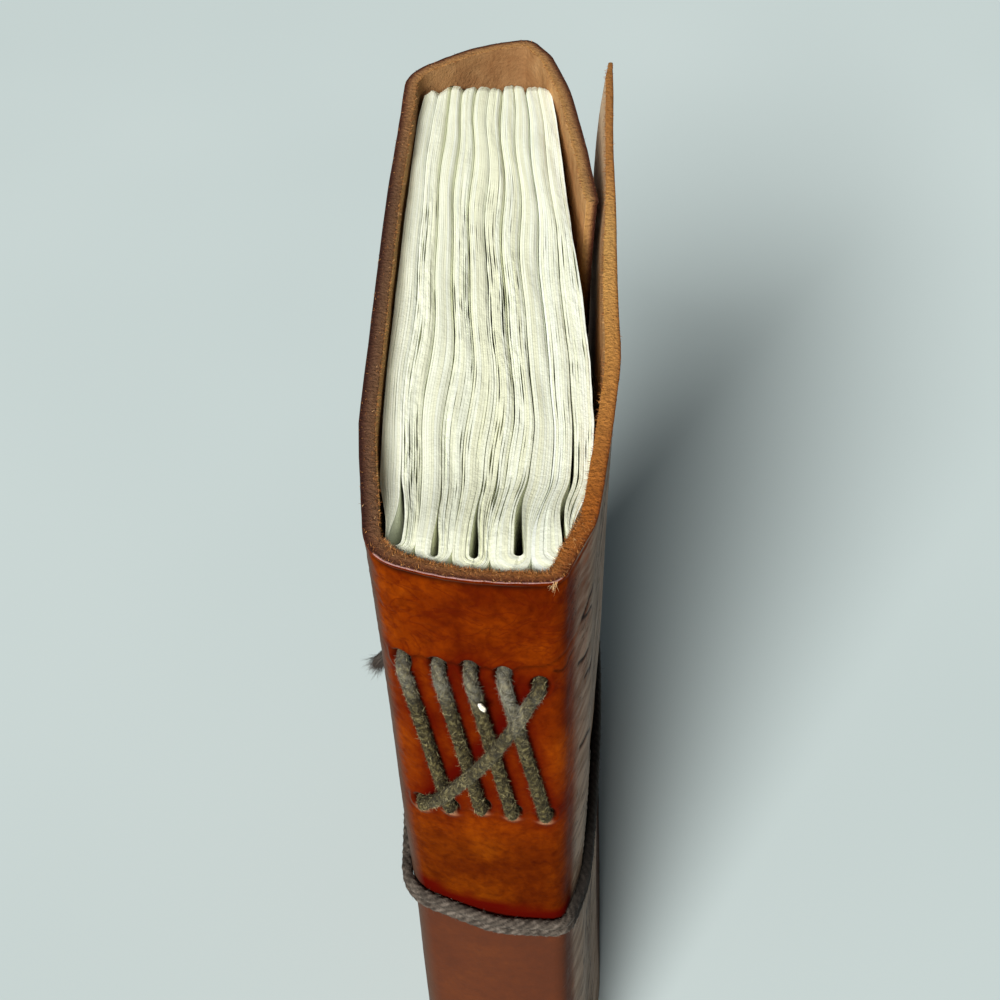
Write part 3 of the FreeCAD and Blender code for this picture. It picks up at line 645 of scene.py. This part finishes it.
def leaf_position(gathering, q, y, z, right):
    """x of a line at a share q from the outside of a gathering to its middle, at depth y."""
    back_x, front_x = (np.interp(y, BLOCK_SIDES[:, 0], BLOCK_SIDES[:, k]) for k in (1, 2))
    spread = smooth(8, 26, y)
    low, high = (FOLD_LINES[line] * (1 - spread) + (back_x + (front_x - back_x) * line / 5) * spread
                 for line in (gathering, gathering + 1))
    middle_x, bottom, half, reach = OPENINGS[gathering]
    middle = middle_x * (1 - spread) + (low + high) / 2 * spread
    open_half = half * bell(np.maximum(y - bottom - 1.5, 0), 0, reach) + 0.03
    outer, inner = (high, middle + open_half) if right else (low, middle - open_half)
    x = outer + (inner - outer) * q
    return x + wave(y, (x - back_x) / (front_x - back_x), z)


def opening_between(gathering, line, right, y, z):
    """Air between two neighbouring sheets: they mostly cling, and part here and there."""
    seed = gathering * 31.7 + line * 5.3 + right * 13.0
    parted = 0.8 * grain_noise(y / 22, seed, z / 90, 0.5)
    parted += 0.75 * grain_noise(y / 5.0, seed * 1.3, z / 60, 2.5)
    amount = 0.52 * np.clip(parted - 0.13, 0, 1) * (1 - 0.8 * smooth(80, 120, y))
    amount *= LOOSE[2 * gathering + right]
    if line == 0:
        amount += 0.11 * VALLEYS[2 * gathering + 2 * right]
    elif line == SHEETS:
        amount += 0.05 * VALLEYS[2 * gathering + 1]
    return (0.012 + amount) * smooth(11, 18, y) + 0.012


def sheet_ring(gathering, number, inside, tips, z):
    """One side of a folded sheet at one height, from fore edge to fold to fore edge."""
    q = (number + inside) / SHEETS
    turn_y = FOLD_BACKS[gathering] + q * (OPENINGS[gathering][1] - FOLD_BACKS[gathering])
    half_wide = (FOLD_LINES[gathering + 1] - FOLD_LINES[gathering]) / 2 * (1 - q)
    top = turn_y + (half_wide + OPENINGS[gathering][2] * q) * 1.15
    runs = []
    for right in (False, True):
        y = top + (tips[right] - top) * LEAF_STEPS
        gap = opening_between(gathering, number + inside, right, y, z) / 2
        x = leaf_position(gathering, q, y, z, right) + (-gap if right != inside else gap)
        runs.append(np.stack((x, y, np.full_like(x, z)), axis=1))
    left, right = runs[0][0], runs[1][0]
    drop = np.array((0, (left[1] + right[1]) / 2 - turn_y, 0))
    thin = np.array((0, -0.006 if inside else 0.006, 0))
    arc = (left + right) / 2 - (right - left) / 2 * np.cos(FOLD_TURN) - drop * np.sin(FOLD_TURN) + thin
    return np.concatenate((runs[0][::-1], arc, runs[1]))


def folded_sheet(gathering, number):
    """Points of one folded sheet: both of its sides as grids, rows up."""
    part = (number + 0.5) / SHEETS / 2
    tips = [np.interp(gathering + (1 - part if right else part), *zip(*TIPS))
            + 0.35 * noise.noise((gathering * 7.1 + number * 1.9, right * 3.0, 1.0))
            for right in (False, True)]
    return [np.array([sheet_ring(gathering, number, inside, tips, z) for z in LEAF_ROWS])
            for inside in (False, True)]


def torn_edge(y, gathering, number, inside, end):
    """Lift of a sheet's head or tail edge: bunches with soft round tops, rougher at each leaf."""
    right = np.arange(len(y)) > len(y) / 2
    q = (number + inside) / SHEETS
    share = gathering + np.where(right, 1 - q / 2, q / 2)     # in gatherings, from the back cover
    seed = 40.0 * end
    broad = 0.45 * grain_noise(share * 1.9, y / 34, seed, 1.0)
    broad += 0.22 * grain_noise(share * 4.0, y / 11, seed, 2.0)
    nearest = np.clip(np.round(share * 2), 0, 10).astype(int)
    off = np.clip(1 - 2 * np.abs(share * 2 - nearest), 0, 1)
    deep = VALLEYS[nearest] * (0.75 + 0.5 * grain_noise(nearest * 3.3, y / 45, seed, 3.0))
    grown = np.where(nearest % 2 == 0, smooth(9, 20, y), smooth(22, 60, y))
    valley = -off ** 4 * deep * grown * (0.35 + 0.65 * smooth(30, 90, y))
    busy = 0.12 + 0.88 * LOOSE[np.clip(np.floor(share * 2), 0, 9).astype(int)]
    busy *= 1 - 0.55 * smooth(75, 125, y)
    leaf = 0.34 * grain_noise(number * 7.7 + gathering * 3.1 + right * 50, y / 22, seed, 4.0)
    rough = 0.10 * grain_noise(share * 9, y / 2.2, seed, 5.0)
    rough += 0.05 * grain_noise(share * 19, y / 0.9, seed, 6.0)
    tip = -1.3 * (1 - smooth(0, 4.5, y.max() - y)) ** 1.6
    swell = 2.2 * (1 - smooth(8, 28, y))                      # the folds stand a little higher
    return broad + valley + (leaf + rough) * busy + tip + swell


def gathering_piece(gathering):
    points, faces, tone = [], [], []
    for number in range(SHEETS):
        sides = np.array(folded_sheet(gathering, number))
        for inside, grid in enumerate(sides):
            for end, rows in ((0, [0, 1]), (1, [-1, -2])):
                lift = torn_edge(grid[rows[0], :, 1], gathering, number, inside, end)
                grid[rows, :, 2] += lift if end else -lift
        count = sides[..., 0].size
        outer, inner = (np.arange(count) + number * count).reshape(sides.shape[:3])
        points.append(sides.reshape(-1, 3))
        tone += [0.5 + 0.5 * noise.noise((gathering * 3.1, number * 0.9, 7.7))] * count
        faces += four_sided(outer) + four_sided(inner[::-1])
        for strip in ((outer[-1], inner[-1]), (inner[0], outer[0]),
                      (inner[:, 0], outer[:, 0]), (outer[:, -1], inner[:, -1])):
            faces += four_sided(np.array(strip))
    piece = new_piece("gathering_%d" % (gathering + 1), placed(np.concatenate(points)), faces,
                      smoothly=False)
    point_values(piece, "tone", tone)
    return piece


paper_finish, tree = new_finish("handmade_paper", (0.80, 0.80, 0.68), 0.9, 0.2)
colour = shaded(tree, of_point(tree, "tone"), (0.2, (0.86, 0.87, 0.64)), (0.55, (0.91, 0.94, 0.77)),
                (0.85, (0.93, 0.97, 0.88)))
pulp = between(tree, speckle(tree, 420, 5, (1, 0.35, 1)), 0.35, 0.60, 0.14, 0.0)
colour = blended(tree, pulp, colour, (0.50, 0.49, 0.33))
painted(tree, colour, (speckle(tree, 1800, 4), 0.10), (speckle(tree, 500, 3), 0.08))
gatherings = [gathering_piece(number) for number in range(5)]
for piece in gatherings:
    piece.data.materials.append(paper_finish)
    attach(piece, "root")
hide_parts("text_block")

# ------------------------------ sewing cords
# One waxed wool-like cord at the head and one at the tail hold the gatherings to the spine: down
# inside a fold, out, slanting to the next hole, and at last back over all the stitches.

SEWING_SIZE = 2.0
# strands, length of one lay, step along, points round, depth of the grooves, roughness
SEWING_LAY = (3, -6.5, 0.32, 16, 0.11, 0.06)
STAND = SEWING_SIZE / 2 + 0.1                  # from the leather to the middle of the cord
FOLD_DEPTHS = (11.5, 9.4, 9.4, 9.5, 11.8)      # from the back edge to the cord inside each fold
TIED_AT = (41, 43)                             # its two ends, in the first fold, from the head


def spine_face(x):
    """y of the leather's grain side across the spine."""
    return np.interp(x, (-17.6, -1.0, 10.9), (4.9, -0.1, 0.3))


def line_of(name, route):
    """Points along the smooth curve that a cord's route points pull, in metres."""
    curve = bpy.data.curves.new(name, "CURVE")
    curve.dimensions = "3D"
    curve.resolution_u = 24
    spline = curve.splines.new("NURBS")
    spline.points.add(len(route) - 1)
    for point, place in zip(spline.points, route):
        point.co = (*place, 1)
    spline.order_u = 3
    spline.use_endpoint_u = True
    guide = bpy.data.objects.new(name, curve)
    bpy.context.scene.collection.objects.link(guide)
    mesh = bpy.data.meshes.new_from_object(guide)
    line = np.array([v.co[:] for v in mesh.vertices])
    bpy.data.objects.remove(guide)
    bpy.data.meshes.remove(mesh)
    return line


def deep(number, hole_x, below):
    """In the opening of a fold, beside a hole."""
    return (OPENINGS[number][0] + hole_x) / 2, FOLD_DEPTHS[number], below


def outside(x, below, aside, down):
    """In the hole, over its rim and a little along the stitch."""
    face, next_face = spine_face(x), spine_face(x + aside * 3.0)
    return [(x, face + 2.0, below),
            (x + aside * 0.1, face - STAND - 0.35, below + down * 0.2),
            (x + aside * 3.0, next_face - STAND - 0.12, below + down * 3.0)]


def stitch(start, end):
    aside, down = straight(np.subtract(end, start))
    return outside(*start, aside, down) + outside(*end, -aside, -down)[::-1]


def sewing_route(from_head):
    route = [deep(0, OUTER_HOLES[0][0], TIED_AT[0]), deep(0, *OUTER_HOLES[0])]
    for number in range(4):
        route += stitch(OUTER_HOLES[number], INNER_HOLES[number + 1])
        route += [deep(number + 1, *INNER_HOLES[number + 1]),
                  deep(number + 1, *OUTER_HOLES[number + 1])]
    start, end = np.array(OUTER_HOLES[4]), np.array(INNER_HOLES[0])
    over = stitch(start, end)
    route += over[:3]
    # over the other stitches: share of the way, and rise over where it else stands
    for share, lift in ((0.16, 1.7), (0.40, 2.45), (0.62, 2.45), (0.86, 1.8)):
        x, below = start + (end - start) * share
        route.append((x, spine_face(x) - STAND - lift, below))
    route += over[3:] + [deep(0, *INNER_HOLES[0]), deep(0, INNER_HOLES[0][0], TIED_AT[1])]
    return placed([(x, y, HEIGHT - below if from_head else below) for x, y, below in route])


def along_line(line, step):
    """Evenly spaced points of a line with a direction and two square directions at each."""
    far = runs_of(line).sum()
    points = spaced(line, np.linspace(0, far, int(far / step)))
    ways = straight(np.gradient(points, axis=0))
    sides = []
    side = np.cross(ways[0], (0.3, 0.5, 0.8))
    for way in ways:
        side = straight(side - way * (side @ way))
        sides.append(side)
    return points, np.array(sides), np.cross(ways, sides)


def tube_faces(numbers):
    """Faces round a tube, from its points' numbers ring by ring, and a face at each end."""
    closed = np.hstack((numbers, numbers[:, :1]))
    return four_sided(closed) + [numbers[0][::-1].tolist(), numbers[-1].tolist()]


def new_cord(name, line, size, lay, seed):
    """A cord of strands laid round each other, closed at both ends, from a line in metres."""
    strands, lay_length, step, around, groove, rough = lay
    points, sides, others = along_line(line, step / 1000)
    turn = np.linspace(0, 2 * np.pi, around, endpoint=False)[None, :]
    steps = np.arange(len(points))[:, None] * step
    lobe = np.abs(np.cos(strands * (turn - steps * 2 * np.pi / lay_length) / 2)) ** 0.75
    radius = size / 2 * (1 - groove + groove * lobe)
    radius *= 1 + rough * grain_noise(np.cos(turn) * 1.6, np.sin(turn) * 1.6, steps / 0.9, seed)
    radius[[0, -1]] *= 0.55
    ways_out = np.cos(turn)[..., None] * sides[:, None] + np.sin(turn)[..., None] * others[:, None]
    ring = points[:, None] + ways_out * radius[..., None] / 1000
    piece = new_piece(name, ring, tube_faces(np.arange(lobe.size).reshape(lobe.shape)))
    # how deep in a groove each point lies, which the cords' finishes darken as painted shade
    point_values(piece, "groove", (1 - lobe).ravel())
    return piece, ring, points


def cord_fuzz(name, ring, line, count, length, width, lift, tones, seed, back=math.inf):
    """Fibres that stand off and lie on a cord's surface, as far back as a given y."""
    chance = np.random.default_rng(seed)
    at = chance.integers(2, len(ring) - 3, count)
    roots = ring[at, chance.integers(0, ring.shape[1], count)]
    kept = roots[:, 1] < back
    at, roots = at[kept], roots[kept]
    out, run = straight(roots - line[at]), straight(line[at + 1] - line[at])
    ways = run * chance.normal(0, 1, (len(at), 1))
    ways += np.cross(run, out) * chance.normal(0, 1, (len(at), 1))
    ways += out * chance.uniform(0.1, lift, (len(at), 1))
    lengths = length * chance.uniform(0.4, 1.2, len(at))
    widths = chance.uniform(0.6, 1.2, len(at)) * width
    return hairs(name, roots, ways, lengths, widths,
                 np.clip(chance.normal(*tones, len(at)), 0, 1), seed)


wool_finish, tree = new_finish("sewing_wool", (0.10, 0.085, 0.055), 0.9, 0.2)
colour = shaded(tree, speckle(tree, 1300, 4), (0.36, (0.007, 0.005, 0.0015)),
                (0.50, (0.048, 0.037, 0.012)), (0.68, (0.20, 0.165, 0.065)))
# painted highlights at the upper holes and on the crossing stitch
colour = blended(tree, times(tree, of_point(tree, "cord_highlight"), 0.40), colour, (0.34, 0.33, 0.27))
# painted shade: darker in the grooves between the strands
colour = blended(tree, of_point(tree, "groove"), colour, (0.022, 0.017, 0.008))
painted(tree, colour, (speckle(tree, 1800, 4), 0.3))
wool_fibre_finish, tree = new_finish("sewing_fibres", (0.14, 0.12, 0.085), 0.85)
colour = shaded(tree, of_point(tree, "tone"), (0.0, (0.010, 0.007, 0.002)),
                (0.5, (0.055, 0.042, 0.014)), (1.0, (0.52, 0.45, 0.22)))
# painted highlights, as on the cord
painted(tree, blended(tree, times(tree, of_point(tree, "cord_highlight"), 0.55), colour, (0.48, 0.47, 0.40)))


def paint_cord_highlights(piece, from_head):
    """Painted highlights: paler where it comes out of the upper holes, most at the fourth, and on the
    crossing.
    """
    x, y, z = (np.array([v.co[:] for v in piece.data.vertices]) - np.array(SPINE_FOOT)).T * 1000
    below = HEIGHT - z if from_head else z
    cord_highlight = 0.12 * smooth(2.5, 3.2, spine_face(x) - y)
    for (hole_x, hole), reach, most in zip(OUTER_HOLES, (4.5, 4.5, 4.0, 8.0, 2.0),
                                           (0.7, 0.8, 0.7, 1.0, 0.3)):
        aside = x - hole_x - 0.25 * (below - hole) * (hole_x < 5)
        far = np.hypot(aside / 2.2, (below - hole - 1.5) / reach)
        cord_highlight = np.maximum(cord_highlight, most * bell(far, 0, 1.0))
    point_values(piece, "cord_highlight", cord_highlight)


for name, from_head, node_name in (("head_sewing", True, "head_sewing_cord"),
                                   ("tail_sewing", False, "tail_sewing_cord")):
    line = line_of(name + "_line", sewing_route(from_head))
    cord, ring, points = new_cord(name, line, SEWING_SIZE, SEWING_LAY, 4.0)
    fuzz = cord_fuzz(name + "_fuzz", ring, points, 42000, 0.85, 0.046, 0.5, (0.40, 0.30), 5,
                     SPINE_FOOT.y + 0.0045)
    for piece, finish in ((cord, wool_finish), (fuzz, wool_fibre_finish)):
        paint_cord_highlights(piece, from_head)
        piece.data.materials.append(finish)
        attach(piece, "root")
    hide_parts(node_name)

# a white crumb of paper fluff that has stuck to the third stitch
around, up_down = np.meshgrid(np.linspace(0, 2 * np.pi, 19)[:-1], np.linspace(-1.35, 1.35, 9))
lumps = 1 + 0.35 * grain_noise(np.cos(around) * 1.3, np.sin(around) * 1.3, up_down, 15.0)
fleck_at = (-1.35, spine_face(-1.35) - SEWING_SIZE - 0.15, HEIGHT - 25.8)
fleck_points = np.stack((np.cos(around) * np.cos(up_down) * 0.52,
                         np.sin(around) * np.cos(up_down) * 0.34,
                         np.sin(up_down) * 0.92), axis=-1) * lumps[..., None]
fleck_points[..., 0] -= 0.35 * fleck_points[..., 2]
fleck = new_piece("white_fleck", placed(fleck_points + np.array(fleck_at, float)),
                  tube_faces(np.arange(around.size).reshape(around.shape)))
fleck_finish, tree = new_finish("paper_fluff", (0.85, 0.80, 0.66), 0.9)
colour = shaded(tree, speckle(tree, 1500, 4), (0.3, (0.62, 0.52, 0.36)), (0.6, (0.95, 0.92, 0.80)))
painted(tree, colour, (speckle(tree, 2500, 3), 0.15))
fleck.data.materials.append(fleck_finish)
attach(fleck, "root")

# ------------------------------ wrap cord and its knot
# Twisted cotton cord of four strands, wound twice round the closed journal and knotted on the
# back cover, with one short frayed end and one that hangs down.

WRAP_SIZE = 2.0
WRAP_LAY = (4, -7.0, 0.36, 20, 0.20, 0.08)
KNOT = np.array((-27.92, 80.0, 113.0))         # its middle, from the spine's foot
# one turn, from the knot round the fore edge, along the front cover and round the spine:
# x, y and height over the turn's own level
WRAP_TURN = (
    (-24.2, 110.0, -0.2), (-24.2, 128.0, -0.4), (-25.2, 148.8, 0.0), (-9.1, 158.9, -0.6),
    (3.8, 162.8, -0.8), (14.3, 157.6, -0.7), (23.8, 152.4, -0.6), (22.0, 140.0, -0.4),
    (21.5, 129.0, -0.2), (21.2, 106.0, 0.2), (21.3, 82.0, 0.8), (21.15, 50.0, 1.7),
    (17.05, 12.2, 3.1), (13.9, 4.7, 3.5), (11.6, -0.8, 3.8), (5.8, -1.0, 4.4), (-1.0, -1.25, 5.1),
    (-7.5, 0.7, 6.0), (-18.5, 4.0, 7.8), (-20.15, 15.6, 6.6), (-22.3, 31.0, 5.2),
)
LEVEL = 1.1                                    # of the two turns, above and below the knot
upper_turn, lower_turn = ([(x, y, KNOT[2] + up + way * LEVEL) for x, y, up in WRAP_TURN]
                          for way in (1, -1))
first_end = KNOT + ((-3.0, -17.4, 1.4), (-0.9, -13.0, 2.6), (-0.1, -9.0, 1.7), (0, -4.7, 1.45),
                    (0, 0, 0.6), (0, 4.7, 0), (0.05, 10.5, 0.3), (2.45, 18.0, 1.1))
under_knot = KNOT + ((4.7, -31.0, 3.7), (4.5, -14.0, 1.7), (4.35, 0, 0), (4.0, 14.0, -1.1))
last_end = KNOT + ((4.7, -31.0, 1.5), (3.05, -18.0, -0.9), (0.05, -10.5, -1.1), (0, -4.7, -1.1),
                   (0, -0.6, -1.0), (0, 0, -4.2), (0.1, 0.1, -9.0), (1.3, 0.6, -15.0),
                   (2.9, 1.7, -22.0), (3.9, 2.4, -30.5))
wrap_route = np.concatenate((first_end, upper_turn, under_knot, lower_turn, last_end))
loops = np.linspace(-1.5, 1.5, 25)
knot_route = KNOT + np.stack((1.35 * np.sin(loops * 2 * np.pi), loops * 2.55,
                              2.55 * np.cos(loops * 2 * np.pi)), axis=1)
line = line_of("wrap_line", placed(wrap_route))
wrap, ring, points = new_cord("wrap_cord", line, WRAP_SIZE, WRAP_LAY, 9.0)
wrap_fuzz = cord_fuzz("wrap_cord_fuzz", ring, points, 14000, 0.8, 0.05, 0.4, (0.5, 0.25), 6)
knot_line = line_of("knot_line", placed(knot_route))
knot, _, _ = new_cord("wrap_knot_loops", knot_line, WRAP_SIZE, WRAP_LAY, 10.0)

# both ends are brushed out where the strands have come undone, the short one most
chance = np.random.default_rng(12)
BRUSH, TASSEL = 700, 300
end_way = straight(points[0] - points[6])
brush_ways = np.array((-0.62, -0.15, -0.76)) + chance.normal(0, 0.07, (BRUSH, 3))
brush_roots = points[0] - end_way * 0.0010 + np.array((-0.0008, 0.0008, 0.0018))
brush = hairs("short_end_brush", brush_roots + chance.normal(0, 0.00055, (BRUSH, 3)), brush_ways,
              chance.uniform(3.2, 5.6, BRUSH), chance.uniform(0.10, 0.20, BRUSH),
              np.clip(chance.normal(0.12, 0.12, BRUSH), 0, 1), 13)
end_way = straight(points[-1] - points[-7])
tassel_ways = end_way + chance.normal(0, 0.22, (TASSEL, 3))
tassel_roots = points[-1] - end_way * 0.001 + chance.normal(0, 0.0005, (TASSEL, 3))
tassel = hairs("long_end_brush", tassel_roots, tassel_ways, chance.uniform(2.0, 5.0, TASSEL),
               chance.uniform(0.10, 0.18, TASSEL),
               np.clip(chance.normal(0.3, 0.2, TASSEL), 0, 1), 14)


def front_side_shade(tree, colour):
    """Painted shade: the cotton darkened along the front cover, which the lamp does not reach."""
    return blended(tree, times(tree, of_point(tree, "front_side_shade"), 0.8), colour, (0.010, 0.008, 0.007))


cotton_finish, tree = new_finish("wrap_cotton", (0.12, 0.09, 0.065), 0.85, 0.2)
colour = shaded(tree, speckle(tree, 700, 4), (0.30, (0.030, 0.023, 0.018)),
                (0.50, (0.095, 0.076, 0.060)), (0.76, (0.24, 0.20, 0.165)))
# painted shade: darker in the grooves between the strands
colour = blended(tree, of_point(tree, "groove"), colour, (0.012, 0.009, 0.007))
painted(tree, front_side_shade(tree, colour), (speckle(tree, 1900, 4), 0.25))
cotton_fibre_finish, tree = new_finish("wrap_fibres", (0.14, 0.11, 0.085), 0.85)
colour = shaded(tree, of_point(tree, "tone"), (0.0, (0.030, 0.023, 0.018)),
                (0.5, (0.090, 0.070, 0.055)), (1.0, (0.24, 0.20, 0.16)))
painted(tree, front_side_shade(tree, colour))
for piece, finish in ((wrap, cotton_finish), (knot, cotton_finish), (wrap_fuzz, cotton_fibre_finish),
                      (brush, cotton_fibre_finish), (tassel, cotton_fibre_finish)):
    # painted shade on the cord along the front cover
    sideways = (np.array([v.co.x for v in piece.data.vertices]) - SPINE_FOOT.x) * 1000
    point_values(piece, "front_side_shade", smooth(10.5, 14.0, sideways))
    piece.data.materials.append(finish)
    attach(piece, "root")
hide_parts("wrap_cord_turns", "wrap_cord_short_end", "wrap_cord_long_end")
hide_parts("wrap_knot")

# ------------------------------ floor, lights and camera
# A plain pale floor, one wide soft lamp high in front of the spine, a little to the left, and a
# weak pale sky that keeps the shaded side readable.

floor = new_piece("floor", [(-3, -3, 0), (3, -3, 0), (3, 3, 0), (-3, 3, 0)], [(0, 1, 2, 3)],
                  smoothly=False)
floor_finish, tree = new_finish("pale_floor", (0.57, 0.65, 0.65), 0.7)
painted(tree, shaded(tree, speckle(tree, 3, 2), (0.3, (0.55, 0.64, 0.645)), (0.7, (0.59, 0.68, 0.685))))
floor.data.materials.append(floor_finish)
floor.location.z = cad_low.z
floor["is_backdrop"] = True

sky = bpy.data.worlds.new("pale_sky")
sky.use_nodes = True
bpy.context.scene.world = sky
tree = sky.node_tree
skylight = tree.nodes["Background"]
skylight.inputs["Color"].default_value = (0.86, 0.95, 1.0, 1)
skylight.inputs["Strength"].default_value = 0.08
backdrop = node(tree, "Background", {"Color": (0.56, 0.65, 0.66, 1)})     # seen, but lights nothing
seen = node(tree, "LightPath").outputs["Is Camera Ray"]
either = node(tree, "MixShader", {0: seen, 1: skylight.outputs[0], 2: backdrop.outputs[0]})
tree.links.new(either.outputs[0], tree.nodes["World Output"].inputs[0])

lamp = bpy.data.lights.new("wide_soft_lamp", "SUN")
lamp.energy = 5.2
lamp.angle = math.radians(24)
lamp.color = (1.0, 0.985, 0.95)
holder = bpy.data.objects.new("wide_soft_lamp", lamp)
holder.rotation_euler = Vector((-0.42, -1.40, 1.05)).to_track_quat("Z", "Y").to_euler()
bpy.context.scene.collection.objects.link(holder)

camera_data = bpy.data.cameras.new("camera")
camera_data.lens = 54
camera_data.sensor_width = 36
camera_data.clip_start = 0.01
camera = bpy.data.objects.new("camera", camera_data)
camera.location = (0.013915, -0.219726, 0.366575)
camera.rotation_euler = (math.radians(45.567), math.radians(1.764), math.radians(2.214))
bpy.context.scene.collection.objects.link(camera)
bpy.context.scene.camera = camera
bpy.context.scene.view_settings.view_transform = "Standard"

low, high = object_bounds()
